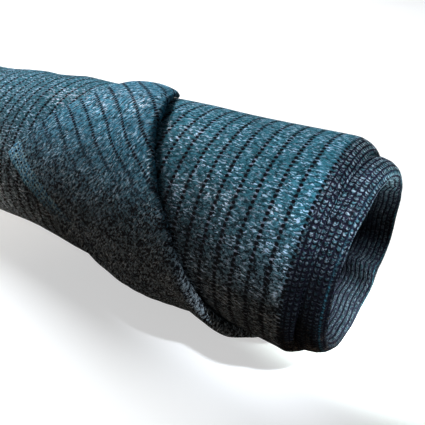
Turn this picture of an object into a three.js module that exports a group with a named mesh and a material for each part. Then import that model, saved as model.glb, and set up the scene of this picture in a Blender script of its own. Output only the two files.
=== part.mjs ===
// A length of knitted shade cloth, wound loosely on itself into a hollow roll that lies on its side.
// The corner of its outer end is folded back over the roll as a triangular flap.
// Millimetres, +Z up. The roll's axis runs along X, and its flared mouth is at +X.

import * as THREE from 'three';

// Cloth
const CLOTH_WIDTH = 1000;         // between the outermost edges of the wound turns
const CLOTH_THICKNESS = 1.2;
const LAYER_GAP = 0.5;            // between the roll and the sheet that lies on it

// Wound form
const MOUTH_X = CLOTH_WIDTH / 2;
const TAIL_X = -CLOTH_WIDTH / 2;
const LIFT_START = 250;           // the underside leaves the floor here, towards the mouth
const LIFT_END = 425;
const AXIS_Y = 2.75;              // centres the roll's box, because the flap stands out on one side only
const FLAT_DEPTH = 1.5;           // how far the roll settles into its flat spot
const HOLLOW_INSET_TOP = 12.5;    // from the outside to the hollow, along the straight part
const HOLLOW_INSET_BOTTOM = 9.5;
const UNEVEN = 0.45;              // height of the slow waves in the wound form

// Folded corner. Positions on the roll are an x and a run around it from the top, down the front.
const RUN_RADIUS = 56;            // a run of cloth over this radius is the angle around the roll
const FOLD_X = 364;               // where the fold line leaves the cut end
const FOLD_RUN = -31;
const FOLD_ANGLE = THREE.MathUtils.degToRad(27.1);
const FLAP_EDGE_X = 478.5;        // the outer turn's selvage
const LIP_LENGTH = 7;             // of the under layer that shows inside the fold
const LIP_SHARE = 0.35;           // the most of the flap's reach that the under layer takes near its points
const LIP_CLEARANCE = 7;          // from the fold's outer edge, past its bend, to where the outer turn lies
const OUTER_TURN_RISE = 10;       // over which the outer turn settles on the roll past the under layer
const SELVAGE_ROUND = 5;          // over which the outer turn's selvage thins out
const TURN_RUN = 2 * Math.PI * RUN_RADIUS;

const FLAP_END = FLAP_EDGE_X - FOLD_X;
const FOLD_LENGTH = FLAP_END / Math.sin(FOLD_ANGLE);
const APEX_ALONG = FLAP_END * Math.sin(FOLD_ANGLE);
const APEX_ACROSS = FLAP_END * Math.cos(FOLD_ANGLE);
const UNDER_FLAP = 2 * (CLOTH_THICKNESS + LAYER_GAP);   // two layers of cloth under the roll

// Outer radius of the roll along its length.
const ROLL_SHAPE = [
  { x: -500, radius: 46.5 },
  { x: 150, radius: 46.5 },
  { x: 215, radius: 47.2 },
  { x: 262, radius: 49.6 },
  { x: 305, radius: 52.7 },
  { x: 350, radius: 53.6 },
  { x: 400, radius: 54.6 },
  { x: 500, radius: 57 },
];

// The flap at its fold, by angle from the top: how far it stands off the roll, how wide that swell is,
// and how far the fold's outer edge lies back from the fold line.
const FLAP_SWELL = [
  { angle: -40, height: 0.6, reach: 30, edge: 0.0 },
  { angle: -12, height: 2.4, reach: 40, edge: 0.5 },
  { angle: 10, height: 4.6, reach: 36, edge: 3.2 },
  { angle: 30, height: 3.6, reach: 26, edge: 5.0 },
  { angle: 52, height: 3.0, reach: 20, edge: 2.5 },
  { angle: 75, height: 3.2, reach: 20, edge: -2.5 },
  { angle: 100, height: 5.0, reach: 20, edge: -4.0 },
  { angle: 130, height: 5.4, reach: 20, edge: -4.0 },
  { angle: 148, height: 2.4, reach: 20, edge: -3.0 },
  { angle: 166, height: 0, reach: 20, edge: -1.5 },
  { angle: 215, height: 0, reach: 20, edge: -1.5 },
];

// Slack in the flap where it turns under the roll.
const FLAP_BELLY = { x: 394, angle: 126, halfLength: 34, halfWidth: 24, height: 5.6 };

// The mouth, from the outer turns' rounded edge over the notch to the inner turns' rim and the hollow.
// Each inset is measured in from the outside, above and below the axis. The cut of the turns leans.
const MOUTH_PROFILE = [
  { x: 473, top: 0, bottom: 0, lean: 0 },
  { x: 479, top: 1.0, bottom: -1.0, lean: 0.5 },
  { x: 483, top: 3.4, bottom: 0.8, lean: 1.0 },
  { x: 486.2, top: 7.4, bottom: 3.6, lean: 1.5 },
  { x: 489.5, top: 7.6, bottom: 3.6, lean: 2.0 },
  { x: 494.5, top: 8.6, bottom: 4.4, lean: 3.0 },
  { x: 498.6, top: 11.6, bottom: 6.4, lean: 4.0 },
  { x: 500, top: 14.2, bottom: 8.4, lean: 4.5 },
  { x: 498.4, top: 16.4, bottom: 10.2, lean: 4.5 },
  { x: 492, top: 17.8, bottom: 11.4, lean: 4.0 },
];
const LEAN_ANGLE = THREE.MathUtils.degToRad(115);   // where each row lies furthest in, by its lean

// One slack fold of the innermost turn, pushed into the mouth from the far side.
const PLEAT = { angle: 212, halfWidth: 14, depth: 5, start: 440 };

// Facets
const SIDES = 48;
const STRAIGHT_END = 205;         // the outside's rings are wide apart up to here
const STRAIGHT_RINGS = 9;
const FLARE_RINGS = 31;
const HOLLOW_RINGS = { mouth: 12, straight: 8 };
const RING_SPACE = 8;             // from the mouth's profile to the next rings, outside and in the hollow
const FOLD_ROWS = 30;
const FOLD_ROW_ENDS = { start: 4, end: 12 };   // the sheet's blunt points, back from the true ones
const BEND_POINTS = 7;
const FLAP_POINTS = 14;
const SEAM_STEP = THREE.MathUtils.degToRad(0.8);   // width of the cut end's small step

const smooth = (from, to, value) => THREE.MathUtils.smoothstep(value, from, to);
const blend = THREE.MathUtils.lerp;
const degrees = THREE.MathUtils.radToDeg;

// A table's row at a key, blended smoothly between its neighbours.
function tableRow(table, key, value) {
  const last = table.length - 1;
  const above = Math.min(last, Math.max(1, table.findIndex((row) => row[key] >= value)));
  const [low, high] = [table[above - 1], table[above]];
  const share = smooth(low[key], high[key], value);
  return Object.fromEntries(Object.keys(low).map((name) => [name, blend(low[name], high[name], share)]));
}

function rollRadius(x) {
  return tableRow(ROLL_SHAPE, 'x', x).radius;
}

// The underside lifts a little towards the mouth, where the folded corner lies under the roll.
function underside(x) {
  return UNDER_FLAP * smooth(LIFT_START, LIFT_END, x);
}

function axisHeight(x) {
  return rollRadius(x) - FLAT_DEPTH + CLOTH_THICKNESS / 2 + underside(x);
}

function slowWaves(x, angle) {
  const wide = Math.sin(2 * angle + x / 90);
  const narrow = 0.6 * Math.sin(3 * angle - x / 57 + 1);
  return UNEVEN * (wide + narrow);
}

// A point at a height above the roll's second turn, kept above the floor.
function rollPoint(x, angle, radius, lowest) {
  const y = AXIS_Y - radius * Math.sin(angle);
  const z = axisHeight(x) + radius * Math.cos(angle);
  return new THREE.Vector3(x, y, Math.max(z, lowest));
}

// Place of a roll position in the fold's own frame: along the fold line, and across it over the flap.
function foldFrame(x, run) {
  const dx = x - FOLD_X;
  const dr = run - FOLD_RUN;
  return {
    along: dx * Math.sin(FOLD_ANGLE) + dr * Math.cos(FOLD_ANGLE),
    across: -dx * Math.cos(FOLD_ANGLE) + dr * Math.sin(FOLD_ANGLE),
  };
}

function flapReach(along) {
  const fromEnd = along * APEX_ACROSS / APEX_ALONG;
  const fromSelvage = (FOLD_LENGTH - along) * Math.tan(FOLD_ANGLE);
  return Math.max(0, Math.min(fromEnd, fromSelvage));
}

function lipLength(along) {
  return Math.min(LIP_LENGTH, LIP_SHARE * flapReach(along));
}

// Share of the outermost turn's thickness at a roll position: 1 where it lies on the roll.
function outerTurn(x, run) {
  const { along, across } = foldFrame(x, run);
  const pastSelvage = 1 - smooth(FLAP_EDGE_X - SELVAGE_ROUND, FLAP_EDGE_X, x);
  if (along > FOLD_LENGTH) return pastSelvage;
  const { edge } = tableRow(FLAP_SWELL, 'angle', degrees(run / RUN_RADIUS));
  const lip = edge + LIP_CLEARANCE + lipLength(along);
  return smooth(lip, lip + OUTER_TURN_RISE, across) * pastSelvage;
}

// Height of the second turn, which climbs by one thickness in each turn of the winding.
function secondTurn(x, angle) {
  const run = angle * RUN_RADIUS;
  const wound = (run - FOLD_RUN) / TURN_RUN;
  return rollRadius(x) - CLOTH_THICKNESS * wound + slowWaves(x, angle);
}

function outsidePoint(x, angle) {
  const run = angle * RUN_RADIUS;
  const radius = secondTurn(x, angle) + CLOTH_THICKNESS * outerTurn(x, run);
  return rollPoint(x, angle, radius, underside(x));
}

function pleatDepth(x, angle) {
  const off = (degrees(angle) - PLEAT.angle) / PLEAT.halfWidth;
  return PLEAT.depth * Math.exp(-off * off) * smooth(PLEAT.start, MOUTH_X - 15, x);
}

// Inset of a station that is deeper above the axis than below it.
function unevenInset(angle, top, bottom) {
  return blend(bottom, top, 0.5 + 0.5 * Math.cos(angle));
}

function leaning(x, lean, angle) {
  return x - lean * (0.5 + 0.5 * Math.cos(angle - LEAN_ANGLE));
}

function mouthPoint(row, angle) {
  const inset = unevenInset(angle, row.top, row.bottom);
  const share = inset / MOUTH_PROFILE.at(-1).top;
  const radius = secondTurn(row.x, angle) - inset - share * pleatDepth(row.x, angle);
  return rollPoint(leaning(row.x, row.lean, angle), angle, radius, underside(row.x));
}

function hollowPoint(x, angle) {
  const last = MOUTH_PROFILE.at(-1);
  const flared = smooth(LIFT_START, last.x, x);
  const top = blend(HOLLOW_INSET_TOP, last.top, flared);
  const bottom = blend(HOLLOW_INSET_BOTTOM, last.bottom, flared);
  const inset = unevenInset(angle, top, bottom);
  const radius = rollRadius(x) - inset + slowWaves(x, angle) - pleatDepth(x, angle);
  return rollPoint(leaning(x, last.lean * flared, angle), angle, radius, 0);
}

// The cut left end: a plain rounded edge between the outside and the hollow.
function tailPoint(share, angle) {
  const outside = outsidePoint(TAIL_X, angle);
  const inside = hollowPoint(TAIL_X, angle);
  return outside.lerp(inside, share);
}

// Angles once around the roll, with a close pair for the step at the outer turn's cut end.
function rollAngles() {
  const start = FOLD_RUN / RUN_RADIUS;
  return evenSteps(start, start + 2 * Math.PI - SEAM_STEP, SIDES + 1);
}

function evenSteps(from, to, count) {
  return Array.from({ length: count }, (_, i) => blend(from, to, i / (count - 1)));
}

// Closed solid from a grid of points that wraps around in both directions.
function wrappedSolid(rings) {
  const sides = rings[0].length;
  const index = [];
  rings.forEach((ring, i) => {
    const next = (i + 1) % rings.length;
    ring.forEach((_, j) => {
      const k = (j + 1) % sides;
      const [a, b, c, d] = [i * sides + j, i * sides + k, next * sides + k, next * sides + j];
      index.push(a, b, c, a, c, d);
    });
  });
  const geometry = new THREE.BufferGeometry().setFromPoints(rings.flat());
  geometry.setIndex(index);
  return geometry;
}

function woundRollGeometry() {
  const angles = rollAngles();
  const straight = evenSteps(TAIL_X, STRAIGHT_END, STRAIGHT_RINGS);
  const flare = evenSteps(STRAIGHT_END, MOUTH_PROFILE[0].x - RING_SPACE, FLARE_RINGS).slice(1);
  const hollowMouth = evenSteps(MOUTH_PROFILE.at(-1).x - RING_SPACE, LIFT_START, HOLLOW_RINGS.mouth);
  const hollow = [...hollowMouth, ...evenSteps(LIFT_START, TAIL_X, HOLLOW_RINGS.straight).slice(1)];
  const rings = [
    ...[...straight, ...flare].map((x) => angles.map((a) => outsidePoint(x, a))),
    ...MOUTH_PROFILE.map((row) => angles.map((a) => mouthPoint(row, a))),
    ...hollow.map((x) => angles.map((a) => hollowPoint(x, a))),
    angles.map((a) => tailPoint(0.5, a)),
  ];
  return wrappedSolid(rings);
}

function bellyHeight(x, angle) {
  const along = (x - FLAP_BELLY.x) / FLAP_BELLY.halfLength;
  const around = (degrees(angle) - FLAP_BELLY.angle) / FLAP_BELLY.halfWidth;
  return FLAP_BELLY.height * Math.exp(-along * along - around * around);
}

// Position on the roll of a point in the fold's frame.
function rollPlace(along, across) {
  const x = FOLD_X + along * Math.sin(FOLD_ANGLE) - across * Math.cos(FOLD_ANGLE);
  const run = FOLD_RUN + along * Math.cos(FOLD_ANGLE) + across * Math.sin(FOLD_ANGLE);
  return { x, angle: run / RUN_RADIUS };
}

// Middle of the flap's upper layer, as a height above the second turn.
function flapHeight(along, across, foldEdge) {
  const { x, angle } = rollPlace(along, across);
  const { height, reach } = tableRow(FLAP_SWELL, 'angle', degrees(angle));
  const inward = (across - foldEdge) / reach;
  const swell = height * Math.exp(-inward * inward);
  const lying = 1.5 * CLOTH_THICKNESS + 2 * LAYER_GAP;
  return lying + Math.max(swell, bellyHeight(x, angle));
}

// One crosswise row of the folded sheet's middle: under layer, fold, then the flap to its edge.
// Each entry is a distance across, a height, and the lowest that the sheet's middle may lie.
function foldRow(along) {
  const { edge } = tableRow(FLAP_SWELL, 'angle', degrees(rollPlace(along, 0).angle));
  const reach = flapReach(along);
  const lipHeight = LAYER_GAP + CLOTH_THICKNESS / 2;
  const lipFloor = 1.5 * CLOTH_THICKNESS + LAYER_GAP;
  const flapFloor = CLOTH_THICKNESS / 2;
  const bend = (flapHeight(along, edge, edge) - lipHeight) / 2;
  const centre = edge + CLOTH_THICKNESS / 2 + bend;
  const lip = centre + lipLength(along);
  const row = [
    { across: lip, height: lipHeight, floor: lipFloor },
    { across: (lip + centre) / 2, height: lipHeight, floor: lipFloor },
  ];
  for (const turn of evenSteps(-90, 90, BEND_POINTS)) {
    const angle = THREE.MathUtils.degToRad(turn);
    const share = 0.5 + 0.5 * Math.sin(angle);
    row.push({
      across: centre - bend * Math.cos(angle),
      height: lipHeight + 2 * bend * share,
      floor: blend(lipFloor, flapFloor, share),
    });
  }
  const last = Math.max(reach, centre + 3);
  for (const share of evenSteps(0, 1, FLAP_POINTS).slice(1)) {
    const across = blend(centre, last, share);
    row.push({ across, height: flapHeight(along, across, edge), floor: flapFloor });
  }
  return row;
}

function foldPoint(along, { across, height, floor }) {
  const { x, angle } = rollPlace(along, across);
  return rollPoint(x, angle, secondTurn(x, angle) + height, floor);
}

// Closed sheet of one thickness about a grid of middle points.
function sheetSolid(grid, thickness) {
  const rows = grid.length;
  const columns = grid[0].length;
  const normalAt = (i, j) => {
    const alongStep = grid[Math.min(i + 1, rows - 1)][j].clone().sub(grid[Math.max(i - 1, 0)][j]);
    const acrossStep = grid[i][Math.min(j + 1, columns - 1)].clone().sub(grid[i][Math.max(j - 1, 0)]);
    return alongStep.cross(acrossStep).normalize();
  };
  const points = [];
  for (const side of [0.5, -0.5]) {
    grid.forEach((row, i) => row.forEach((middle, j) => {
      points.push(middle.clone().addScaledVector(normalAt(i, j), side * thickness));
    }));
  }
  const under = rows * columns;
  const index = [];
  const quad = (a, b, c, d) => index.push(a, b, c, a, c, d);
  for (let i = 0; i < rows - 1; i += 1) {
    for (let j = 0; j < columns - 1; j += 1) {
      const near = i * columns + j;
      const far = near + columns;
      quad(near, far, far + 1, near + 1);
      quad(under + near + 1, under + far + 1, under + far, under + near);
    }
  }
  const rim = [];
  for (let j = 0; j < columns - 1; j += 1) rim.push(j);
  for (let i = 0; i < rows - 1; i += 1) rim.push(i * columns + columns - 1);
  for (let j = columns - 1; j > 0; j -= 1) rim.push((rows - 1) * columns + j);
  for (let i = rows - 1; i > 0; i -= 1) rim.push(i * columns);
  rim.forEach((a, n) => {
    const b = rim[(n + 1) % rim.length];
    quad(a, b, under + b, under + a);
  });
  const geometry = new THREE.BufferGeometry().setFromPoints(points);
  geometry.setIndex(index);
  return geometry;
}

function foldedCornerGeometry() {
  const rows = evenSteps(FOLD_ROW_ENDS.start, FOLD_LENGTH - FOLD_ROW_ENDS.end, FOLD_ROWS);
  const grid = rows.map((along) => foldRow(along).map((entry) => foldPoint(along, entry)));
  return sheetSolid(grid, CLOTH_THICKNESS);
}

function clothMesh(name, geometry, color) {
  geometry.computeVertexNormals();
  const material = new THREE.MeshStandardMaterial({ color, roughness: 0.55, metalness: 0 });
  const mesh = new THREE.Mesh(geometry, material);
  mesh.name = name;
  return mesh;
}

const group = new THREE.Group();
group.add(clothMesh('wound_roll', woundRollGeometry(), 0x35525f));
group.add(clothMesh('folded_corner', foldedCornerGeometry(), 0x3f6271));

export default group;
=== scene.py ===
"""Looks of a roll of knitted shade cloth: its wound turns, its folded corner, the knit and the studio."""
import logging
import math
from dataclasses import dataclass
from functools import partial, reduce

import bpy
import numpy as np
from mathutils import Matrix, Vector


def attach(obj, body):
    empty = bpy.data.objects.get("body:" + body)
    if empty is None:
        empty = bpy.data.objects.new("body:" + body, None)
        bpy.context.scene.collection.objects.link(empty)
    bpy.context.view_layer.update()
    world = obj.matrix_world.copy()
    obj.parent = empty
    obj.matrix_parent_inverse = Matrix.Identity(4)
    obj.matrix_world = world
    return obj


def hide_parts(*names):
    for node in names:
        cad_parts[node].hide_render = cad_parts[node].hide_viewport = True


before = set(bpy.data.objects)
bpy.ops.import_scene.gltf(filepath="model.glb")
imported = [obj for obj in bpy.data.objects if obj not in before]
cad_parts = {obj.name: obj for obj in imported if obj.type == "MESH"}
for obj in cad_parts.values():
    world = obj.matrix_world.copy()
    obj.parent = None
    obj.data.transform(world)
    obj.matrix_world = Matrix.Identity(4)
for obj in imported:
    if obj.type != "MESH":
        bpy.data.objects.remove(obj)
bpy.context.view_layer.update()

LOG = logging.getLogger("shade_cloth")
MM = 0.001

Number = np.ndarray | float
Pair = tuple[float, float]
Point = tuple[float, float, float]
Color = tuple[float, float, float, float]
Ramp = tuple[float, float, float, float]
Socket = bpy.types.NodeSocket


def smooth(low: Number, high: Number, value: Number) -> Number:
    """Smoothstep from 0 at low to 1 at high.

    Args:
        low: Where the step starts.
        high: Where the step ends.
        value: Number or array to read the step at.

    Returns:
        The step's height, 0 to 1.
    """
    share = np.clip((np.asarray(value, dtype=float) - low) / (high - low), 0.0, 1.0)
    return share * share * (3.0 - 2.0 * share)


def blend(low: Number, high: Number, share: Number) -> Number:
    """Straight blend from low to high by share."""
    return low + (high - low) * share


def half_wave(angle: np.ndarray) -> np.ndarray:
    """1 at an angle of 0, the top of the roll, and 0 opposite."""
    return 0.5 + 0.5 * np.cos(angle)


def unit(vectors: np.ndarray) -> np.ndarray:
    """Vectors brought to a length of 1."""
    return vectors / np.maximum(np.linalg.norm(vectors, axis=-1, keepdims=True), 1e-9)


class Table:
    """Short table of sizes with named columns, read smoothly or straight between its rows."""

    def __init__(self, names: tuple[str, ...], rows: tuple[tuple[float, ...], ...]) -> None:
        """Keeps the rows by column name; the first column is the key.

        Args:
            names: Column names.
            rows: One tuple for each row.
        """
        self.columns = {name: np.array(column, dtype=float) for name, column in zip(names, zip(*rows))}
        self.keys = self.columns[names[0]]

    def read(self, column: str, value: Number) -> np.ndarray:
        """Value of a column, eased from row to row.

        Args:
            column: Column name.
            value: Key to read at.

        Returns:
            The column's value at each key.
        """
        data = self.columns[column]
        above = np.clip(np.searchsorted(self.keys, value), 1, len(self.keys) - 1)
        share = smooth(self.keys[above - 1], self.keys[above], value)
        return blend(data[above - 1], data[above], share)

    def read_straight(self, column: str, value: Number) -> np.ndarray:
        """Value of a column, straight from row to row."""
        return np.interp(value, self.keys, self.columns[column])


@dataclass(frozen=True)
class Slack:
    """A soft rise or dip of the wound cloth about one place, in millimetres and degrees."""

    x: float
    angle: float
    half_length: float
    half_angle: float
    height: float

    def at(self, x: np.ndarray, angle: np.ndarray) -> np.ndarray:
        """Height of the rise at places given by x and an angle in radians."""
        around = ((np.degrees(angle) - self.angle + 180.0) % 360.0 - 180.0) / self.half_angle
        return self.height * np.exp(-(((x - self.x) / self.half_length) ** 2) - around**2)


@dataclass(frozen=True)
class RollForm:
    """Wound form of the roll, in millimetres: the surface that every turn of the cloth follows."""

    width: float = 1000.0
    cloth: float = 1.2
    gap: float = 0.5
    lift_start: float = 250.0
    lift_end: float = 425.0
    axis_y: float = 2.75
    flat_depth: float = 1.5
    uneven: float = 0.45
    run_radius: float = 56.0
    slack: tuple[Slack, ...] = (
        Slack(x=250, angle=-36, half_length=50, half_angle=36, height=3.2),
        Slack(x=303, angle=142, half_length=32, half_angle=30, height=-4.2),
        Slack(x=466, angle=150, half_length=20, half_angle=26, height=2.4),
        Slack(x=500, angle=243, half_length=32, half_angle=46, height=6.6),
    )
    shape: Table = Table(
        ("x", "radius"),
        (
            (-500, 46.5), (150, 46.5), (215, 47.2), (262, 49.6),
            (305, 52.7), (350, 53.6), (400, 54.6), (500, 57),
        ),
    )

    @property
    def turn_run(self) -> float:
        """Run of cloth in one turn."""
        return 2 * math.pi * self.run_radius

    def radius(self, x: np.ndarray) -> np.ndarray:
        """Radius of the second turn's outside along the roll."""
        return self.shape.read("radius", x)

    def underside(self, x: np.ndarray) -> np.ndarray:
        """Height of the underside, which lifts towards the mouth over the folded corner."""
        return 2 * (self.cloth + self.gap) * smooth(self.lift_start, self.lift_end, x)

    def axis_height(self, x: np.ndarray) -> np.ndarray:
        """Height of the roll's axis."""
        return self.radius(x) - self.flat_depth + self.cloth / 2 + self.underside(x)

    def waves(self, x: np.ndarray, angle: np.ndarray) -> np.ndarray:
        """Slow unevenness of the wound form, and its slack places."""
        waves = np.sin(2 * angle + x / 90) + 0.6 * np.sin(3 * angle - x / 57 + 1)
        return self.uneven * waves + sum(slack.at(x, angle) for slack in self.slack)

    def point(self, x: np.ndarray, angle: np.ndarray, radius: np.ndarray, lowest: Number) -> np.ndarray:
        """Places on the roll as an array of points.

        Args:
            x: Place along the roll.
            angle: Angle from the top, down the front.
            radius: Distance from the axis.
            lowest: Height that the points are kept above.

        Returns:
            Points with a last axis of x, y and z.
        """
        y = self.axis_y - radius * np.sin(angle)
        z = self.axis_height(x) + radius * np.cos(angle)
        return np.stack(np.broadcast_arrays(x, y, np.maximum(z, lowest)), axis=-1)


@dataclass(frozen=True)
class FoldLine:
    """Where the corner of the outer end is folded back, in the roll's own x and run, in millimetres."""

    x: float = 364.0
    run: float = -31.0
    angle: float = math.radians(27.1)
    edge_x: float = 478.5
    lip_length: float = 7.0
    lip_share: float = 0.35
    swell: Table = Table(
        ("angle", "height", "reach", "edge", "drop"),
        (
            (-40, 2.6, 40, -1, 0.9),
            (-12, 5.3, 42, 0, 0.75),
            (10, 7, 34, 0.8, 0.35),
            (30, 5, 26, 2.8, 0.1),
            (52, 3, 20, 1.2, 0),
            (75, 3.2, 20, -2.5, 0),
            (100, 5, 20, -4, 0),
            (130, 5.4, 20, -4, 0),
            (148, 2.4, 20, -3, 0),
            (166, 0, 20, -1.5, 0),
            (215, 0, 20, -1.5, 0),
        ),
    )

    @property
    def end(self) -> float:
        """Length of the folded corner's cut end."""
        return self.edge_x - self.x

    @property
    def length(self) -> float:
        """Length of the fold."""
        return self.end / math.sin(self.angle)

    def reach(self, along: np.ndarray) -> np.ndarray:
        """How far the flap reaches from the fold line, to its selvage or its cut end."""
        slope = math.tan(self.angle)
        return np.maximum(0.0, np.minimum(along / slope, (self.length - along) * slope))

    def lip(self, along: np.ndarray) -> np.ndarray:
        """Length of the under layer inside the fold."""
        return np.minimum(self.lip_length, self.lip_share * self.reach(along))

    def place(self, along: np.ndarray, across: np.ndarray) -> tuple[np.ndarray, np.ndarray]:
        """Place on the roll of a point in the fold's own frame.

        Args:
            along: Place along the fold.
            across: Place across it, towards the flap.

        Returns:
            The x and the run around the roll.
        """
        x = self.x + along * math.sin(self.angle) - across * math.cos(self.angle)
        run = self.run + along * math.cos(self.angle) + across * math.sin(self.angle)
        return x, run

    def boundary(self, run: np.ndarray, clearance: float) -> np.ndarray:
        """Where the outer turn starts, left of the fold, as an x for each run.

        Args:
            run: Run around the roll.
            clearance: Distance past the fold's outer edge.

        Returns:
            The x of the outer turn's folded edge.
        """
        along = (run - self.run) / math.cos(self.angle)
        edge = self.swell.read("edge", np.degrees(run / FORM.run_radius))
        across = edge + clearance + self.lip(along)
        return self.x + (run - self.run) * math.tan(self.angle) - across / math.cos(self.angle)


FORM = RollForm()
FOLD = FoldLine()


@dataclass
class ClothMesh:
    """Closed sheet of cloth about a grid of middle points, with its rounded edges and its own coordinates."""

    name: str
    middle: np.ndarray
    thickness: float
    from_edge: np.ndarray
    run: np.ndarray
    past_band: np.ndarray
    past_far_band: np.ndarray
    rim_bulge: float = 0.35

    def normals(self) -> np.ndarray:
        """Unit normals of the grid."""
        return unit(np.cross(np.gradient(self.middle, axis=0), np.gradient(self.middle, axis=1)))

    def rim(self) -> tuple[np.ndarray, np.ndarray]:
        """Border of the grid in order, and the way out of the sheet at each border point.

        Returns:
            Grid indexes of the border, and unit vectors.
        """
        rows, columns = self.middle.shape[:2]
        grid = np.arange(rows * columns).reshape(rows, columns)
        loop = np.concatenate([grid[0, :-1], grid[:-1, -1], grid[-1, :0:-1], grid[:0:-1, 0]])
        inner_row = np.clip(loop // columns, 1, rows - 2)
        inner_column = np.clip(loop % columns, 1, columns - 2)
        return loop, unit(self.middle.reshape(-1, 3)[loop] - self.middle[inner_row, inner_column])

    def build(self) -> bpy.types.Object:
        """Makes the sheet's object, in metres.

        Returns:
            The object, linked to the scene.
        """
        rows, columns = self.middle.shape[:2]
        flat = self.middle.reshape(-1, 3)
        offset = self.normals().reshape(-1, 3) * self.thickness / 2
        loop, out = self.rim()
        bulge = out * self.thickness * self.rim_bulge
        points = np.concatenate([flat + offset, flat - offset, flat[loop] + bulge]) * MM
        grid = np.arange(rows * columns).reshape(rows, columns)
        near = grid[:-1, :-1].ravel()
        far = grid[1:, :-1].ravel()
        upper = np.stack([near, far, far + 1, near + 1], axis=1)
        lower = upper[:, ::-1] + rows * columns
        edge = 2 * rows * columns + np.arange(len(loop))
        edge_next = np.roll(edge, -1)
        loop_next = np.roll(loop, -1)
        rim_upper = np.stack([loop, loop_next, edge_next, edge], axis=1)
        rim_lower = np.stack([edge, edge_next, loop_next + rows * columns, loop + rows * columns], axis=1)
        faces = np.concatenate([upper, lower, rim_upper, rim_lower])
        mesh = bpy.data.meshes.new(self.name)
        mesh.from_pydata(points.tolist(), [], faces.tolist())
        mesh.update()
        source = np.concatenate([grid.ravel(), grid.ravel(), loop])
        self.write_maps(mesh, source)
        mesh.shade_smooth()
        piece = bpy.data.objects.new(self.name, mesh)
        bpy.context.scene.collection.objects.link(piece)
        return piece

    def write_maps(self, mesh: bpy.types.Mesh, source: np.ndarray) -> None:
        """Writes the cloth's own coordinates as two UV maps, in metres.

        Args:
            mesh: Mesh that gets the maps.
            source: Grid point that each of its points comes from.
        """
        corners = np.empty(len(mesh.loops), dtype=np.int32)
        mesh.loops.foreach_get("vertex_index", corners)
        maps = {"cloth": (self.from_edge, self.run), "bands": (self.past_band, self.past_far_band)}
        for name, grids in maps.items():
            values = np.stack([grid.ravel() for grid in grids], axis=1)[source[corners]] * MM
            mesh.uv_layers.new(name=name).uv.foreach_set("vector", values.astype(np.float32).ravel())


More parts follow.
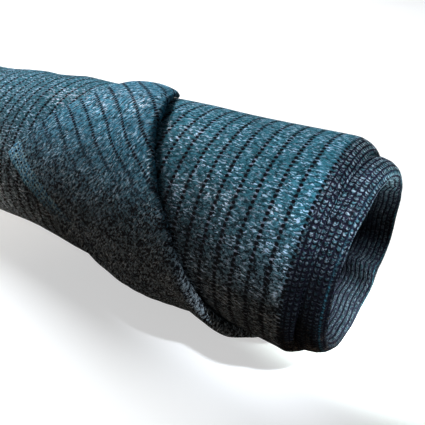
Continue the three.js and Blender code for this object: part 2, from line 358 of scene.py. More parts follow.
@dataclass
class WoundTurns:
    """The whole length of cloth as one spiral sheet, from its outer cut end to the hollow.

    Sizes are in millimetres and turns. The walls and insets are for the underside and the top, and each
    pleat has an angle and a half width in degrees, and a depth.
    """

    turns: float = 9.0
    thickness: float = 0.9
    steps_in_turn: int = 76
    body_end: float = 473.0
    lobe_turns: float = 2.0
    tuck_turns: float = 0.15
    skin_turn: float = 3.0
    skin_start: float = 3.9
    skin_end: float = 4.9
    rise_turns: float = 0.3
    hide_turns: float = 0.2
    selvage_shift: float = 10.5
    pattern_edge: float = 489.0
    outer_band: float = 10.4
    inner_band: float = 74.0
    straight_wall: Pair = (9.8, 12.8)
    mouth_wall: Pair = (11.7, 18.1)
    skin_inset: Pair = (2.4, 6.4)
    mouth_blend: Pair = (250.0, 470.0)
    tail_stations: tuple[float, ...] = (-500.0, -499.0, -496.0, -489.0, -475.0)
    straight_stations: tuple[float, float, int] = (-430.0, 190.0, 11)
    mouth_stations: tuple[float, float, int] = (206.0, 473.0, 18)
    edge_steps: int = 21
    inner_end: float = 484.0
    lean_angle: float = math.radians(62)
    fold_clearance: float = 5.0
    lobe_first_share: float = 0.36
    lobe_grows_from: float = 0.708
    edge_wander: Pair = (0.5, 0.35)
    tail_wander: Pair = (1.2, 0.4)
    outer_radius: float = 52.0
    radius_loss: float = 0.7
    mean_radius: float = 48.0
    pleat_along: Pair = (430.0, 480.0)
    pleat_power: int = 3
    settling: float = 0.9
    pleats: tuple[tuple[float, float, float], ...] = ((227.0, 6.5, 16.0), (212.0, 7.0, -5.0))
    lobe: Table = Table(
        ("share", "x", "top", "bottom", "lean"),
        (
            (0, 473, 0, 0, 0),
            (0.26, 477, 0.35, -0.7, 0.2),
            (0.4, 479, 1, -1, 0.5),
            (0.58, 481.5, 2, -0.4, 0.8),
            (0.74, 483.5, 3.3, 0.6, 1),
            (0.89, 485.2, 4.8, 1.2, 1.3),
            (1, 486.2, 6.2, 2, 1.5),
        ),
    )
    tucked: Table = Table(
        ("share", "x", "top", "bottom", "lean"),
        ((0, 473, 0, 0, 0), (0.5, 475, 0.1, 0.1, 0.1), (1, 477, 0.3, 0.2, 0.2)),
    )
    rim_path: Table = Table(
        ("share", "x", "top", "bottom", "lean"),
        (
            (0, 473, 0, 0, 0),
            (0.15, 480, 0.5, 0.2, 0.5),
            (0.29, 486, 1, 0.4, 1.4),
            (0.38, 489.5, 1.2, 0.4, 2),
            (0.51, 494.5, 2.2, 1.2, 3),
            (0.62, 498.2, 4.5, 2.7, 4),
            (0.7, 499.8, 6.8, 4.5, 4.4),
            (0.78, 499.6, 8.9, 6.4, 4.5),
            (0.84, 497.4, 10.6, 7.6, 4.4),
            (0.9, 490, 12.2, 9, 3.6),
            (1, 448, 13.4, 10.2, 0),
        ),
    )

    def path_value(self, column: str, turn: np.ndarray, share: np.ndarray) -> np.ndarray:
        """Value of the edge's path for each turn: lobe, tucked away, then the rim and the mouth's turns.

        Args:
            column: Column of the path tables.
            turn: Turn number from the outer cut end.
            share: Place along the path, 0 to 1.

        Returns:
            The column's value.
        """
        paths = (self.lobe, self.tucked, self.rim_path)
        lobe, tucked, rim = (path.read_straight(column, share) for path in paths)
        to_tucked = smooth(self.lobe_turns, self.lobe_turns + self.tuck_turns, turn)
        to_rim = smooth(self.skin_start - self.rise_turns, self.skin_start, turn)
        return blend(blend(lobe, tucked, to_tucked), rim, to_rim)

    def regular_inset(self, turn: np.ndarray, x: np.ndarray, angle: np.ndarray) -> np.ndarray:
        """How far each turn's outside lies in from the outermost surface.

        Args:
            turn: Turn number.
            x: Place along the roll.
            angle: Angle around the roll.

        Returns:
            The inset in millimetres.
        """
        top_share = half_wave(angle)
        start = FORM.cloth * self.lobe_turns
        past_lobe = turn - self.lobe_turns
        wall = blend(*self.straight_wall, top_share)
        straight = blend(start, wall, past_lobe / (self.turns - self.lobe_turns))
        skin = blend(*self.skin_inset, top_share) - FORM.cloth * self.skin_turn
        skin_first = skin + FORM.cloth * self.skin_start
        to_skin = blend(start, skin_first, past_lobe / (self.skin_start - self.lobe_turns))
        in_skin = skin + FORM.cloth * np.minimum(turn, self.skin_end)
        past_skin = np.maximum(0.0, turn - self.skin_end) / (self.turns - self.skin_end)
        to_wall = blend(in_skin, blend(*self.mouth_wall, top_share), past_skin)
        mouth = np.where(turn < self.skin_start, to_skin, to_wall)
        inner = blend(straight, mouth, smooth(*self.mouth_blend, x))
        return np.where(turn <= self.lobe_turns, FORM.cloth * turn, inner)

    def body_shares(self) -> np.ndarray:
        """Stations of the roll's body, close together at the tail and towards the mouth.

        Returns:
            Shares of the body's length.
        """
        runs = (np.linspace(*run) for run in (self.straight_stations, self.mouth_stations))
        stations = np.concatenate([self.tail_stations, *runs])
        return (stations - stations[0]) / (self.body_end - stations[0])

    def middle_surface(self) -> dict[str, np.ndarray]:
        """Middle points of the spiral sheet, with its cloth coordinates.

        Returns:
            Arrays by name: points, x, turn and tail, the x of the far edge.
        """
        steps = int(self.turns * self.steps_in_turn) + 1
        turn = np.linspace(0.0, self.turns, steps)[:, None]
        angle = FOLD.run / FORM.run_radius + 2 * math.pi * turn
        run = FOLD.run + FORM.turn_run * np.minimum(turn, 1.0)
        off = np.minimum(0.0, FOLD.boundary(run, self.fold_clearance) - FOLD.edge_x) * (turn < 1.0)
        body = self.body_shares()[None, :]
        edge = np.linspace(0.0, 1.0, self.edge_steps)[None, 1:]
        share = edge * blend(self.lobe_first_share, 1.0, smooth(self.lobe_grows_from, 1.0, turn))
        shift = np.where(turn <= self.lobe_turns, -self.thickness * (turn - 1.0), 0.0)
        uneven = self.edge_wander[0] * np.sin(5 * angle + 1.3 * turn)
        uneven = uneven + self.edge_wander[1] * np.sin(11 * angle + 2.1 * turn)
        hidden = smooth(self.skin_end, self.skin_end + self.hide_turns, turn)
        inner_x = blend(self.body_end, self.inner_end, share)
        path_x = blend(self.path_value("x", turn, share), inner_x, hidden)
        lean = self.path_value("lean", turn, share) * half_wave(angle - self.lean_angle)
        end_x = off + path_x + (shift + uneven * smooth(0.2, 1.0, share)) * share - lean
        tail = self.tail_wander[0] * (0.5 + 0.5 * np.sin(2.3 * turn + 0.6))
        tail = tail + self.tail_wander[1] * (0.5 + 0.5 * np.sin(5 * angle)) - FORM.width / 2
        body_x = tail + (self.body_end + off - tail) * body
        x = np.concatenate([np.broadcast_to(body_x, (steps, body.shape[1])), end_x], axis=1)
        bottom, top = self.path_value("bottom", turn, share), self.path_value("top", turn, share)
        curl = blend(bottom, top, half_wave(angle))
        curl = curl * (off >= 0) * (1.0 - hidden)
        extra = np.concatenate([np.zeros((steps, body.shape[1])), curl], axis=1)
        regular = self.regular_inset(turn, x, angle)
        inset = regular + extra
        wall = self.regular_inset(np.full_like(turn, self.turns), x, angle)
        around = np.degrees(angle) % 360.0
        pleat = sum(depth * np.exp(-(((around - place) / half) ** 2)) for place, half, depth in self.pleats)
        pleat = pleat * smooth(*self.pleat_along, x) * np.clip(inset / wall, 0, 1) ** self.pleat_power
        radius = FORM.radius(x) + FORM.cloth - inset + FORM.waves(x, angle) - pleat - self.thickness / 2
        settled = self.settling * (regular - FORM.cloth * (turn % 1.0))
        lowest = FORM.underside(x) + self.thickness / 2 + settled
        points = FORM.point(x, angle + 0 * x, radius, lowest)
        return {"points": points, "x": x, "turn": turn + 0 * x, "tail": tail + 0 * x}

    def cloth_coordinates(self, surface: dict[str, np.ndarray]) -> dict[str, np.ndarray]:
        """Places on the flat cloth, for its pattern.

        Args:
            surface: Arrays of middle_surface.

        Returns:
            Grids in millimetres by name: from_edge, run, past_band and past_far_band.
        """
        points, turn = surface["points"], surface["turn"]
        steps = np.linalg.norm(np.diff(points, axis=1), axis=-1)
        along = np.concatenate([np.zeros((len(points), 1)), np.cumsum(steps, axis=1)], axis=1)
        from_own_edge = along[:, -1:] - along
        shift = self.selvage_shift * (1 - smooth(self.lobe_grows_from, 1.0, turn))
        fixed = self.pattern_edge - surface["x"] - shift
        body = len(self.body_shares())
        bend = along - along[:, body - 1 : body]
        fixed[:, body:] = fixed[:, body - 1 : body] - bend[:, body:]
        outer = turn < self.lobe_turns
        return {
            "from_edge": np.where(outer, fixed, from_own_edge),
            "run": turn * 2 * math.pi * (self.outer_radius - self.radius_loss * turn),
            "past_band": np.where(outer, fixed - self.outer_band, from_own_edge - self.inner_band),
            "past_far_band": surface["x"] - surface["tail"] - self.outer_band,
        }

    def build(self) -> bpy.types.Object:
        """Makes the wound cloth.

        Returns:
            The piece.
        """
        surface = self.middle_surface()
        sheet = ClothMesh("wound_cloth", surface["points"], self.thickness, **self.cloth_coordinates(surface))
        piece = sheet.build()
        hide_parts("wound_roll")
        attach(piece, "root")
        return piece


@dataclass
class FoldedCorner:
    """The loose end's corner, folded back over the roll: under layer, bend and flap, in millimetres.

    Each ripple has a height, a length, a slant, a phase and the two places between which it grows.
    """

    thickness: float = 0.9
    lying: float = 2.1
    rows: int = 150
    bend_points: int = 13
    flap_points: int = 62
    blunt: Pair = (2.0, 10.0)
    drop_length: float = 8.0
    band: float = 10.4
    swell_columns: tuple[str, ...] = ("height", "reach", "drop")
    bend_length: float = 6.0
    lip_drop: float = 0.3
    bend_allowance: float = 12.0
    ripples: tuple[tuple[float, ...], ...] = ((0.28, 6.5, 0.11, 0, 4, 30), (0.2, 3.9, -0.2, 1, 2, 20))
    edge_wander: Pair = (0.5, 0.4)
    belly: Slack = Slack(x=394.0, angle=126.0, half_length=34.0, half_angle=24.0, height=5.6)

    def flap_height(self, along: np.ndarray, across: np.ndarray, edge: np.ndarray) -> np.ndarray:
        """Middle of the flap's upper layer, above the second turn.

        Args:
            along: Place along the fold.
            across: Place across it.
            edge: Outer edge of the fold, as an across.

        Returns:
            The height.
        """
        x, run = FOLD.place(along, across)
        angle = run / FORM.run_radius
        height, reach, drop = (FOLD.swell.read(name, np.degrees(angle)) for name in self.swell_columns)
        drop = drop * np.exp(-np.maximum(0.0, across - edge) / self.drop_length)
        swell = height * np.exp(-(((across - edge) / reach) ** 2)) * (1.0 - drop)
        ripple = sum(
            high * np.sin(along / length + slant * across + phase) * smooth(start, full, across)
            for high, length, slant, phase, start, full in self.ripples
        )
        return self.lying + np.maximum(swell, self.belly.at(x, angle)) + np.abs(ripple)

    def grid(self) -> dict[str, np.ndarray]:
        """Middle points of the folded sheet and their distance from the fold.

        Returns:
            Arrays by name: points, along, and sheet, the distance along the cloth from the outermost line
            of the fold.
        """
        along = np.linspace(self.blunt[0], FOLD.length - self.blunt[1], self.rows)[:, None]
        _, run = FOLD.place(along, 0.0 * along)
        edge = FOLD.swell.read("edge", np.degrees(run / FORM.run_radius))
        reach = FOLD.reach(along)
        lip_height = FORM.gap + FORM.cloth / 2 - self.lip_drop
        bend = (self.flap_height(along, edge, edge) - lip_height) / 2
        centre = edge + FORM.cloth / 2 + bend
        lip = centre + FOLD.lip(along)
        turn = np.radians(np.linspace(-90, 90, self.bend_points))[None, :]
        share = 0.5 + 0.5 * np.sin(turn)
        lip_across = np.concatenate([lip, (lip + centre) / 2], axis=1)
        bend_across = centre - bend * np.cos(turn)
        wobble = self.edge_wander[0] * np.sin(along / 5.0) + self.edge_wander[1] * np.sin(along / 2.3 + 1.0)
        last = np.maximum(reach + wobble, centre + 3)
        flap_share = np.linspace(0, 1, self.flap_points)[None, 1:]
        flap_across = centre + (last - centre) * flap_share
        across = np.concatenate([lip_across, bend_across, flap_across], axis=1)
        lip_floor = 1.5 * FORM.cloth + FORM.gap
        flap_floor = self.thickness / 2
        flap_height = self.flap_height(along, flap_across, edge)
        parts = (
            (lip_across, lip_height, lip_floor),
            (bend_across, lip_height + 2 * bend * share, blend(lip_floor, flap_floor, share)),
            (flap_across, flap_height, flap_floor),
        )
        height = np.concatenate([np.broadcast_to(high, place.shape) for place, high, _ in parts], axis=1)
        floor = np.concatenate([np.broadcast_to(low, place.shape) for place, _, low in parts], axis=1)
        x, run = FOLD.place(along + 0 * across, across)
        angle = run / FORM.run_radius
        wound = (run - FOLD.run) / FORM.turn_run
        second = FORM.radius(x) - FORM.cloth * wound + FORM.waves(x, angle)
        points = FORM.point(x, angle, second + height, floor)
        steps = np.linalg.norm(np.diff(points, axis=1), axis=-1)
        sheet = np.concatenate([np.zeros((self.rows, 1)), np.cumsum(steps, axis=1)], axis=1)
        outermost = lip_across.shape[1] + self.bend_points // 2
        sheet -= sheet[:, outermost : outermost + 1]
        return {"points": points, "along": along + 0 * across, "sheet": sheet}

    def build(self) -> bpy.types.Object:
        """Makes the folded corner.

        Returns:
            The piece.
        """
        grid = self.grid()
        along, sheet = grid["along"], grid["sheet"]
        cloth_x = FOLD.x + along * math.sin(FOLD.angle) + sheet * math.cos(FOLD.angle)
        cloth_run = FOLD.run + along * math.cos(FOLD.angle) - sheet * math.sin(FOLD.angle)
        from_edge = np.maximum(FOLD.edge_x - cloth_x, 0.0)
        far = np.full_like(from_edge, FORM.width)
        places = (from_edge, cloth_run, from_edge - self.band, far)
        piece = ClothMesh("folded_cloth_corner", grid["points"], self.thickness, *places).build()
        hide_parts("folded_corner")
        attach(piece, "root")
        return piece


@dataclass(frozen=True)
class Noise:
    """A noise about 0.5, moved aside by shift so that no two are alike, that shakes a value by reach."""

    scale: float
    detail: float = 2.0
    roughness: float = 0.5
    shift: float = 0.0
    reach: float = 0.0


class NodeSheet:
    """Small helper that writes maths and colour nodes into one node tree. Values are numbers or sockets."""

    def __init__(self, tree: bpy.types.NodeTree) -> None:
        """Keeps the tree that the nodes go into."""
        self.tree = tree

    def fill(self, node: bpy.types.Node, inputs: dict) -> None:
        """Links a node's inputs, or sets plain values on them.

        Args:
            node: The node.
            inputs: Output sockets or plain values, by input name or number.
        """
        for name, value in inputs.items():
            if isinstance(value, Socket):
                self.tree.links.new(value, node.inputs[name])
            else:
                node.inputs[name].default_value = value

    def node(self, kind: str, inputs: dict | None = None, **settings: object) -> bpy.types.Node:
        """Adds a node, sets its plain properties and fills its inputs.

        Args:
            kind: Blender's name for the node.
            inputs: Values by input name or number.
            settings: Properties and their values.

        Returns:
            The node.
        """
        node = self.tree.nodes.new(kind)
        for name, value in settings.items():
            setattr(node, name, value)
        self.fill(node, inputs or {})
        return node

    def maths(self, operation: str, *values: object, clamp: bool = False) -> Socket:
        """Result of one Math node."""
        inputs = dict(enumerate(values))
        return self.node("ShaderNodeMath", inputs, operation=operation, use_clamp=clamp).outputs[0]

    def ramp(self, value: object, ramp: Ramp) -> Socket:
        """Smooth step of a value between the ramp's first two numbers, from its third to its fourth."""
        inputs = dict(zip(("Value", "From Min", "From Max", "To Min", "To Max"), (value, *ramp)))
        return self.node("ShaderNodeMapRange", inputs, interpolation_type="SMOOTHSTEP").outputs["Result"]

    def mix(self, factor: object, first: object, second: object) -> Socket:
        """Colour mix from first to second."""
        inputs = {"Factor": factor, "A": first, "B": second}
        return self.node("ShaderNodeMix", inputs, data_type="RGBA").outputs["Result"]

    def tuned(self, color: object, quality: str, value: object) -> Socket:
        """Colour with its Saturation or Value changed."""
        return self.node("ShaderNodeHueSaturation", {"Color": color, quality: value}).outputs["Color"]

    def join(self, x: object, y: object) -> Socket:
        """Vector of two values and 0."""
        return self.node("ShaderNodeCombineXYZ", {0: x, 1: y}).outputs[0]

    def split(self, vector: object) -> bpy.types.NodeOutputs:
        """The three values of a vector."""
        return self.node("ShaderNodeSeparateXYZ", {0: vector}).outputs

    def millimetres(self, vector: object) -> tuple[Socket, Socket]:
        """First two values of a vector in metres, in millimetres."""
        x, y, _ = self.split(vector)
        return self.times(x, 1 / MM), self.times(y, 1 / MM)

    def noise(self, vector: object, noise: Noise) -> Socket:
        """Value of a noise at a place.

        Args:
            vector: The place.
            noise: The noise.

        Returns:
            Its value, about 0.5.
        """
        if noise.shift:
            inputs = {0: vector, 1: (noise.shift,) * 3}
            vector = self.node("ShaderNodeVectorMath", inputs, operation="ADD").outputs[0]
        inputs = dict(Vector=vector, Scale=noise.scale, Detail=noise.detail, Roughness=noise.roughness)
        return self.node("ShaderNodeTexNoise", inputs).outputs["Fac"]

    def times(self, *values: object) -> Socket:
        """Product of the values."""
        return reduce(partial(self.maths, "MULTIPLY"), values)

    def shaken(self, value: object, vector: object, noise: Noise) -> Socket:
        """Value moved to and fro by a noise."""
        aside = self.maths("SUBTRACT", self.noise(vector, noise), 0.5)
        return self.maths("ADD", value, self.times(aside, noise.reach))

    def folded(self, value: object, pitch: object) -> Socket:
        """Distance to the nearest multiple of a pitch."""
        share = self.maths("FRACT", self.maths("ADD", self.maths("DIVIDE", value, pitch), 0.5))
        return self.times(self.maths("ABSOLUTE", self.maths("SUBTRACT", share, 0.5)), pitch)


@dataclass(frozen=True)
class KnitGauge:
    """Sizes of the knit in millimetres, with its heights as shares of the relief."""

    chain_pitch: float = 8.467
    first_chain: float = 10.9
    tape_length: float = 3.4
    tape_width: float = 1.08
    band_pitch: float = 2.5
    band_stitch: float = 2.3
    vee_slope: float = 0.55
    rim_line: float = 20.9
    tape_height: float = 0.9
    bead_height: float = -0.4
    gap_height: float = -0.25
    bead_roughness: float = 0.6


@dataclass(frozen=True)
class KnitRamps:
    """Where each part of the knit fades in or out, by a noise's value or by distance.

    Distances from a chain row are in stitch widths. The others are in millimetres, and those past the band
    are negative towards the cloth's edge.
    """

    tape: Ramp = (0.4, 0.56, 0, 1)
    # strand, sparkle, glint and link place painted highlights.
    strand: Ramp = (0.52, 0.64, 0, 0.4)
    sparkle: Ramp = (0.56, 0.63, 0, 1)
    cluster: Ramp = (0.38, 0.6, 0, 1)
    gap: Ramp = (0.48, 0.56, 0, 1)
    speck: Ramp = (0.42, 0.56, 0.15, 1)
    loop: Ramp = (0.06, 0.45, 0, 1)
    glint: Ramp = (0.47, 0.55, 0, 0.95)
    rim: Ramp = (0.4, 0.6, 0.05, 0.32)
    bright: Ramp = (0.5, 0.6, 0, 1)
    lit: Ramp = (0, 1, 0.35, 1)
    matt: Ramp = (0, 1, 0.95, 0.2)
    coat: Ramp = (0, 1, 0, 0.16)
    shade: Ramp = (0.3, 0.7, 0.78, 1.2)
    link: Ramp = (0.5, 0.62, 0, 0.6)
    link_side: Ramp = (0.35, 0.8, 1, 0)
    bead_side: Ramp = (0.8, 1.1, 1, 0)
    chain_side: Ramp = (0.7, 1.7, 0.25, 0)
    beside: Ramp = (1.2, 2.6, 0.03, 0)
    band_row: Ramp = (0.45, 1.15, 1, 0)
    band_vee: Ramp = (0.42, 0.95, 1, 0)
    band_end: Ramp = (-0.5, 0.5, 1, 0)
    hem: Ramp = (0.52, 1.3, 0.45, 0)
    rim_side: Ramp = (0.2, 0.8, 1, 0)
    cuff: Ramp = (-26, -22, 0.62, 0)
    # Painted shade deep inside the mouth.
    cuff_painted_shade: Ramp = (-44, -27, 0.85, 0)


@dataclass(frozen=True)
class KnitNoises:
    """The knit's noises, on the cloth in millimetres, and on the tapes for tape and strand."""

    row: Noise = Noise(0.05, reach=1.3)
    stitch: Noise = Noise(0.4, roughness=0.6, reach=1.5)
    sway: Noise = Noise(0.15, reach=0.6)
    vee: Noise = Noise(0.14, shift=5.1, reach=5.0)
    tape: Noise = Noise(1.0, 3.0, 0.65)
    strand: Noise = Noise(1.25, 2.0, 0.65, 7.3)
    speck: Noise = Noise(0.8, 2.0, 0.7, 3.1)
    cluster: Noise = Noise(0.09, shift=11.7)
    shade: Noise = Noise(0.012, 3.0, 0.6)


@dataclass
class KnitPattern:
    """Node group of the knit: chain rows, crosswise tapes and the dense selvage band, with painted highlights
    and painted shade lower down.
    """

    gauge: KnitGauge = KnitGauge()
    ramps: KnitRamps = KnitRamps()
    noises: KnitNoises = KnitNoises()

    MAPS = ("Cloth", "Bands")
    STITCH = ("Stitch Pitch", "Stitch Length", "Stitch Width")
    # The gaps' strength and the body's saturation go by height as painted shade, with darker gaps and greyer
    # colour lower down. The row and band strengths fade the reverse's rows and band there, and the band shade
    # sets how dark the band gets.
    STRENGTHS = ("Row Strength", "Band Strength", "Painted Shade", "Painted Shade Saturation")
    SHARES = ("Glint Amount", "Band Shade")
    # Glint, Link, Ground Glint and Loop Glint are painted highlights, and the glint amount sets the painted
    # sparkles.
    BODY_COLORS = ("Tape", "Tape Deep", "Chain", "Glint", "Link")
    BAND_COLORS = ("Band Ground", "Ground Glint", "Band Loop", "Loop Glint")

    def __post_init__(self) -> None:
        """Builds the group."""
        self.group = bpy.data.node_groups.new("knitted_tape_net", "ShaderNodeTree")
        for way, kind, names in (
            ("INPUT", "Vector", self.MAPS),
            ("INPUT", "Float", self.STITCH + self.STRENGTHS + self.SHARES),
            ("INPUT", "Color", self.BODY_COLORS + self.BAND_COLORS),
            ("OUTPUT", "Color", ("Color",)),
            ("OUTPUT", "Float", ("Height", "Roughness", "Shine")),
        ):
            for name in names:
                self.group.interface.new_socket(name, in_out=way, socket_type=f"NodeSocket{kind}")
        sheet = self.sheet = NodeSheet(self.group)
        gauge, noises = self.gauge, self.noises
        self.given = sheet.node("NodeGroupInput").outputs
        self.near, self.run = sheet.millimetres(self.given["Cloth"])
        self.past_band, self.past_far_band = sheet.millimetres(self.given["Bands"])
        self.place = sheet.join(self.near, self.run)
        self.along = sheet.shaken(self.run, self.place, noises.stitch)
        tape_run = sheet.times(self.along, 1 / gauge.tape_width)
        on_tape = sheet.join(sheet.times(self.near, 1 / gauge.tape_length), tape_run)
        self.tapes, self.strands = (sheet.noise(on_tape, noise) for noise in (noises.tape, noises.strand))
        self.specks = sheet.noise(self.place, noises.speck)
        self.write()

    def painted(self, color: Socket, *layers: tuple[Socket, str]) -> Socket:
        """Lays paints over a colour.

        Args:
            color: The colour.
            layers: A mask and the name of a paint for each layer.

        Returns:
            The painted colour.
        """
        for mask, paint in layers:
            color = self.sheet.mix(mask, color, self.given[paint])
        return color

    def rows(self) -> tuple[Socket, Socket]:
        """Chain rows.

        Returns:
            Distance from the nearest row in stitch widths, and the mask of the row's beads.
        """
        sheet, given, gauge = self.sheet, self.given, self.gauge
        across = sheet.shaken(self.near, self.place, self.noises.row)
        from_chain = sheet.folded(sheet.maths("SUBTRACT", across, gauge.first_chain), gauge.chain_pitch)
        side = sheet.maths("DIVIDE", from_chain, given["Stitch Width"])
        stitch_run = sheet.shaken(self.run, self.place, self.noises.sway)
        along = sheet.maths("DIVIDE", sheet.folded(stitch_run, given["Stitch Pitch"]), given["Stitch Length"])
        squares = sheet.maths("ADD", sheet.maths("POWER", side, 2.0), sheet.maths("POWER", along, 2.0))
        bead = sheet.ramp(sheet.maths("SQRT", squares), self.ramps.bead_side)
        return side, sheet.times(bead, given["Row Strength"])

    def body(self, side: Socket, bead: Socket, gap: Socket, cluster: Socket) -> Socket:
        """Open knit between the bands.

        Args:
            side: Distance from the nearest chain row, in stitch widths.
            bead: Mask of the rows' beads.
            gap: Mask of the dark gaps.
            cluster: Mask of the places with more painted glints.

        Returns:
            Its colour.
        """
        sheet, given, ramps = self.sheet, self.given, self.ramps
        row = given["Row Strength"]
        link = sheet.times(sheet.ramp(side, ramps.link_side), sheet.ramp(self.strands, ramps.link), row)
        # Painted highlights: the light strands, the sparkles and the links beside the dots. Painted shade:
        # the gaps darken lower down.
        return self.painted(
            sheet.mix(sheet.ramp(self.tapes, ramps.tape), given["Tape Deep"], given["Tape"]),
            (sheet.ramp(self.strands, ramps.strand), "Glint"),
            (sheet.times(gap, given["Painted Shade"]), "Chain"),
            (sheet.times(sheet.ramp(self.strands, ramps.sparkle), given["Glint Amount"], cluster), "Glint"),
            (sheet.times(sheet.ramp(side, ramps.chain_side), row), "Chain"),
            (link, "Link"),
            (bead, "Chain"),
        )

    def band(self) -> tuple[Socket, Socket]:
        """Dense selvage band.

        Returns:
            Its colour, and the height of its loops.
        """
        sheet, given, gauge, ramps = self.sheet, self.given, self.gauge, self.ramps
        from_row = sheet.folded(self.near, gauge.band_pitch)
        vee_run = sheet.shaken(self.along, self.place, self.noises.vee)
        vee_run = sheet.maths("ADD", vee_run, sheet.times(from_row, gauge.vee_slope))
        vees = sheet.ramp(sheet.folded(vee_run, gauge.band_stitch), ramps.band_vee)
        vees = sheet.maths("MAXIMUM", vees, sheet.ramp(self.past_band, ramps.cuff))
        loops = sheet.times(sheet.ramp(from_row, ramps.band_row), vees, sheet.ramp(self.specks, ramps.speck))
        # Painted highlights: the glints on the band's ground and loops.
        glints = sheet.ramp(self.strands, ramps.glint)
        ground = sheet.mix(glints, given["Band Ground"], given["Ground Glint"])
        looped = sheet.mix(glints, given["Band Loop"], given["Loop Glint"])
        from_line = sheet.maths("ABSOLUTE", sheet.maths("ADD", self.past_band, gauge.rim_line))
        line = sheet.times(sheet.ramp(from_line, ramps.rim_side), sheet.ramp(self.specks, ramps.rim))
        color = self.painted(
            sheet.mix(sheet.ramp(loops, ramps.loop), ground, looped),
            # Painted shade: the band darkens lower down, and deep inside the mouth.
            (sheet.times(given["Painted Shade"], given["Band Shade"]), "Chain"),
            (sheet.ramp(self.past_band, ramps.cuff_painted_shade), "Chain"),
            (line, "Tape"),
        )
        return color, loops

    def write(self) -> None:
        """Joins the open knit, its bands and its hem into the group's outputs."""
        sheet, given, gauge, ramps = self.sheet, self.given, self.gauge, self.ramps
        side, bead = self.rows()
        gap = sheet.ramp(sheet.maths("ADD", self.specks, sheet.ramp(side, ramps.beside)), ramps.gap)
        cluster = sheet.ramp(sheet.noise(self.place, self.noises.cluster), ramps.cluster)
        # Painted shade: the open knit greys lower down.
        body = sheet.tuned(self.body(side, bead, gap, cluster), "Saturation", given["Painted Shade Saturation"])
        banded, loops = self.band()
        ends = (sheet.ramp(past, ramps.band_end) for past in (self.past_band, self.past_far_band))
        band = sheet.maths("MAXIMUM", *ends)
        color = sheet.mix(sheet.times(band, given["Band Strength"]), body, banded)
        hem = sheet.times(sheet.ramp(self.near, ramps.hem), given["Band Strength"])
        shade = sheet.ramp(sheet.noise(self.place, self.noises.shade), ramps.shade)

        height = sheet.times(self.tapes, gauge.tape_height)
        height = sheet.maths("ADD", height, sheet.times(bead, gauge.bead_height))
        height = sheet.maths("ADD", height, sheet.times(gap, gauge.gap_height))
        height = sheet.times(height, sheet.maths("SUBTRACT", 1.0, band))
        bright = sheet.times(sheet.ramp(self.strands, ramps.bright), sheet.ramp(cluster, ramps.lit))
        matt = sheet.ramp(bright, ramps.matt)
        dull = sheet.maths("MAXIMUM", bead, sheet.times(band, given["Painted Shade"]))
        outputs = {
            "Color": sheet.tuned(self.painted(color, (hem, "Tape")), "Value", shade),
            "Height": sheet.maths("ADD", height, sheet.times(loops, band)),
            "Roughness": sheet.maths("ADD", matt, sheet.times(bead, gauge.bead_roughness), clamp=True),
            "Shine": sheet.times(sheet.ramp(bright, ramps.coat), sheet.maths("SUBTRACT", 1.0, dull)),
        }
        sheet.node("NodeGroupOutput", outputs)


@dataclass(frozen=True)
class ClothFinish:
    """Finish of one face of the cloth. Its gaps, rows, band and saturation go by height, in metres, as
    painted shade: darker gaps, fading rows and band and greyer colour lower down.
    """

    name: str
    tape: Color
    tape_deep: Color
    chain: Color
    band_ground: Color
    ground_glint: Color
    band_loop: Color
    loop_glint: Color
    link: Color
    glint: Color
    glint_amount: float
    stitch: tuple[float, float, float]
    gaps: Ramp
    band_shade: float
    relief: float
    rows_from: Ramp | None = None
    band_from: Ramp | None = None
    saturation: Ramp = (0.045, 0.106, 0.36, 1.0)
    coat_roughness: float = 0.28
    specular: float = 0.05

    def build(self, pattern: KnitPattern) -> bpy.types.Material:
        """Makes the material.

        Args:
            pattern: The knit's node group.

        Returns:
            The material.
        """
        material = bpy.data.materials.new(self.name)
        material.use_nodes = True
        sheet = NodeSheet(material.node_tree)
        height = sheet.split(sheet.node("ShaderNodeTexCoord").outputs["Object"])["Z"]
        inputs = dict(zip(pattern.STITCH, self.stitch))
        for name in pattern.MAPS:
            inputs[name] = sheet.node("ShaderNodeUVMap", uv_map=name.lower()).outputs[0]
        for name in pattern.BODY_COLORS + pattern.BAND_COLORS + pattern.SHARES:
            inputs[name] = getattr(self, name.lower().replace(" ", "_"))
        # Painted shade by height: darker gaps and greyer colour lower down, and on the reverse its rows and
        # band fade there.
        by_height = (self.rows_from, self.band_from, self.gaps, self.saturation)
        for name, values in zip(pattern.STRENGTHS, by_height):
            inputs[name] = sheet.ramp(height, values) if values else 1.0
        knit = sheet.node("ShaderNodeGroup", inputs, node_tree=pattern.group).outputs
        relief = {"Strength": 1.0, "Distance": self.relief * MM, "Height": knit["Height"]}
        looks = {
            "Base Color": knit["Color"],
            "Roughness": knit["Roughness"],
            "Normal": sheet.node("ShaderNodeBump", relief).outputs["Normal"],
            "Coat Weight": knit["Shine"],
            "Coat Roughness": self.coat_roughness,
            "Specular IOR Level": self.specular,
        }
        sheet.fill(material.node_tree.nodes["Principled BSDF"], looks)
        return material


# Glint, loop_glint and link are painted highlights. The gaps ramp is painted shade, with darker gaps lower
# down.
FRONT = ClothFinish(
    name="knitted_cloth_front",
    tape=(0.047, 0.224, 0.305, 1),
    tape_deep=(0.010, 0.055, 0.075, 1),
    chain=(0.0035, 0.0035, 0.007, 1),
    band_ground=(0.005, 0.006, 0.011, 1),
    ground_glint=(0.02, 0.02, 0.05, 1),
    band_loop=(0.13, 0.34, 0.42, 1),
    loop_glint=(0.66, 0.84, 1.0, 1),
    link=(0.36, 0.38, 0.58, 1),
    glint=(0.48, 0.74, 1.0, 1),
    glint_amount=1.0,
    stitch=(2.4, 0.86, 1.0),
    gaps=(0.072, 0.108, 0.95, 0.26),
    band_shade=1.0,
    relief=1.8,
)
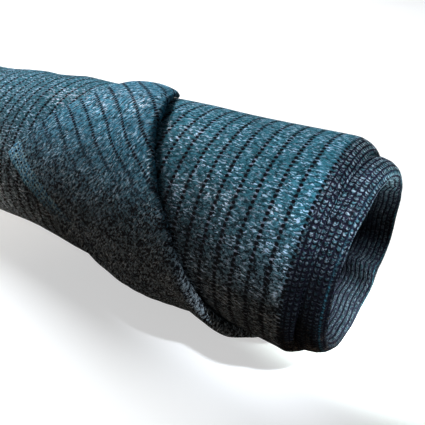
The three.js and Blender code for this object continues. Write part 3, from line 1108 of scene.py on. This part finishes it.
# Glint, ground_glint and link are painted highlights. The gaps, rows_from and band_from ramps are painted
# shade lower down.
REVERSE = ClothFinish(
    name="knitted_cloth_reverse",
    tape=(0.066, 0.29, 0.43, 1),
    tape_deep=(0.010, 0.045, 0.066, 1),
    chain=(0.004, 0.003, 0.009, 1),
    band_ground=(0.11, 0.36, 0.58, 1),
    ground_glint=(0.6, 0.9, 1.0, 1),
    band_loop=(0.004, 0.003, 0.01, 1),
    loop_glint=(0.01, 0.02, 0.04, 1),
    link=(0.20, 0.30, 0.42, 1),
    glint=(0.5, 0.78, 1.0, 1),
    glint_amount=0.9,
    stitch=(2.0, 0.66, 0.9),
    gaps=(0.078, 0.104, 1.0, 0.32),
    band_shade=0.0,
    relief=1.6,
    rows_from=(0.076, 0.1, 0.0, 1.0),
    band_from=(0.05, 0.068, 0.0, 1.0),
)


@dataclass(frozen=True)
class Lamp:
    """One soft light, in metres and watts: square, or round where it shines in a cone, in degrees."""

    name: str
    place: Point
    target: Point
    size: float
    power: float
    color: Point
    cone: float = 0.0
    gloss_only: bool = False

    def build(self) -> None:
        """Makes the light, turned to its target."""
        data = bpy.data.lights.new(self.name, "SPOT" if self.cone else "AREA")
        if self.cone:
            data.spot_size, data.spot_blend = math.radians(self.cone), 0.8
            data.shadow_soft_size = self.size / 2
        else:
            data.size = self.size
        data.energy = self.power
        data.color = self.color
        light = bpy.data.objects.new(self.name, data)
        bpy.context.scene.collection.objects.link(light)
        aim = Vector(self.target) - Vector(self.place)
        turned = aim.to_track_quat("-Z", "Y").to_matrix().to_4x4()
        light.matrix_world = Matrix.Translation(self.place) @ turned
        light.visible_diffuse = not self.gloss_only


@dataclass
class Studio:
    """Pale floor, soft light and the camera, in metres."""

    camera_at: Point = (0.5279, -0.1944, 0.2080)
    right: Point = (0.8427, 0.5373, 0.0334)
    up: Point = (-0.3254, 0.4590, 0.8267)
    forward: Point = (-0.4289, 0.7076, -0.5616)
    lens: float = 40.66
    floor_size: float = 14.0
    floor_seen: Color = (0.5, 0.5, 0.5, 1)
    floor_thrown_back: Color = (0.15, 0.10, 0.065, 1)
    floor_glow: float = 0.55
    sky: Color = (0.93, 0.96, 1.0, 1)
    sky_strength: float = 0.085
    lamps: tuple[Lamp, ...] = (
        Lamp("key_light", (-0.55, 0.36, 0.94), (0.3, 0.0, 0.05), 0.5, 33.0, (0.93, 0.97, 1.0)),
        Lamp("overhead_gloss", (-0.12, -0.05, 1.0), (0.36, -0.03, 0.07), 0.4, 8.0, (0.78, 0.9, 1.0), 0, True),
        Lamp("front_gloss", (0.1, -0.5, 0.6), (0.36, -0.03, 0.07), 0.2, 12.0, (0.78, 0.9, 1.0), 0, True),
        Lamp("mouth_light", (1.3, -0.15, 0.46), (0.494, 0.014, 0.004), 0.05, 560.0, (0.86, 1.0, 0.97), 4.6),
        Lamp("side_light", (1.1, -0.1, 1.0), (0.518, -0.03, 0.1), 0.06, 110.0, (0.85, 0.92, 1.0), 5.4),
        Lamp("low_light", (0.0, -0.7, 0.16), (0.21, -0.05, 0.012), 0.1, 28.0, (1.0, 0.9, 0.8), 14.0),
        Lamp("inner_light", (1.1, -0.35, 0.03), (0.487, 0.032, 0.088), 0.05, 110.0, (0.86, 1.0, 0.97), 4.4),
    )

    def build(self) -> None:
        """Makes the camera, floor, lights and surroundings."""
        self.add_camera()
        self.add_floor()
        for lamp in self.lamps:
            lamp.build()
        world = bpy.data.worlds.new("studio_surroundings")
        world.use_nodes = True
        background = world.node_tree.nodes["Background"]
        background.inputs["Color"].default_value = self.sky
        background.inputs["Strength"].default_value = self.sky_strength
        bpy.context.scene.world = world
        bpy.context.scene.view_settings.view_transform = "Standard"

    def add_camera(self) -> None:
        """Adds the camera at the photograph's place."""
        data = bpy.data.cameras.new("camera")
        data.lens = self.lens
        data.sensor_width = 36.0
        data.clip_start = 0.005
        camera = bpy.data.objects.new("camera", data)
        bpy.context.scene.collection.objects.link(camera)
        columns = Matrix((Vector(self.right), Vector(self.up), -Vector(self.forward))).transposed()
        camera.matrix_world = Matrix.Translation(self.camera_at) @ columns.to_4x4()
        bpy.context.scene.camera = camera

    def add_floor(self) -> None:
        """Adds the floor, paler to the eye than to the light that it throws back up."""
        bpy.ops.object.select_all(action="DESELECT")
        bpy.ops.mesh.primitive_plane_add(size=self.floor_size, location=(0, 0, 0))
        floor = bpy.context.object
        floor.name = "floor"
        material = bpy.data.materials.new("pale_floor")
        material.use_nodes = True
        sheet = NodeSheet(material.node_tree)
        eye = sheet.node("ShaderNodeLightPath").outputs["Is Camera Ray"]
        looks = {
            "Base Color": sheet.mix(eye, self.floor_thrown_back, self.floor_seen),
            "Emission Color": (1, 1, 1, 1),
            "Emission Strength": sheet.times(eye, self.floor_glow),
            "Roughness": 0.9,
            "Specular IOR Level": 0.1,
        }
        sheet.fill(material.node_tree.nodes["Principled BSDF"], looks)
        floor.data.materials.append(material)


def main() -> None:
    """Builds the scene in order and reports each piece."""
    logging.basicConfig(level=logging.INFO, format="%(name)s: %(message)s")
    Studio().build()
    pattern = KnitPattern()
    for maker, finish in ((WoundTurns(), FRONT), (FoldedCorner(), REVERSE)):
        piece = maker.build()
        piece.data.materials.append(finish.build(pattern))
        LOG.info("%s: %d faces", piece.name, len(piece.data.polygons))


if __name__ == "__main__":
    main()
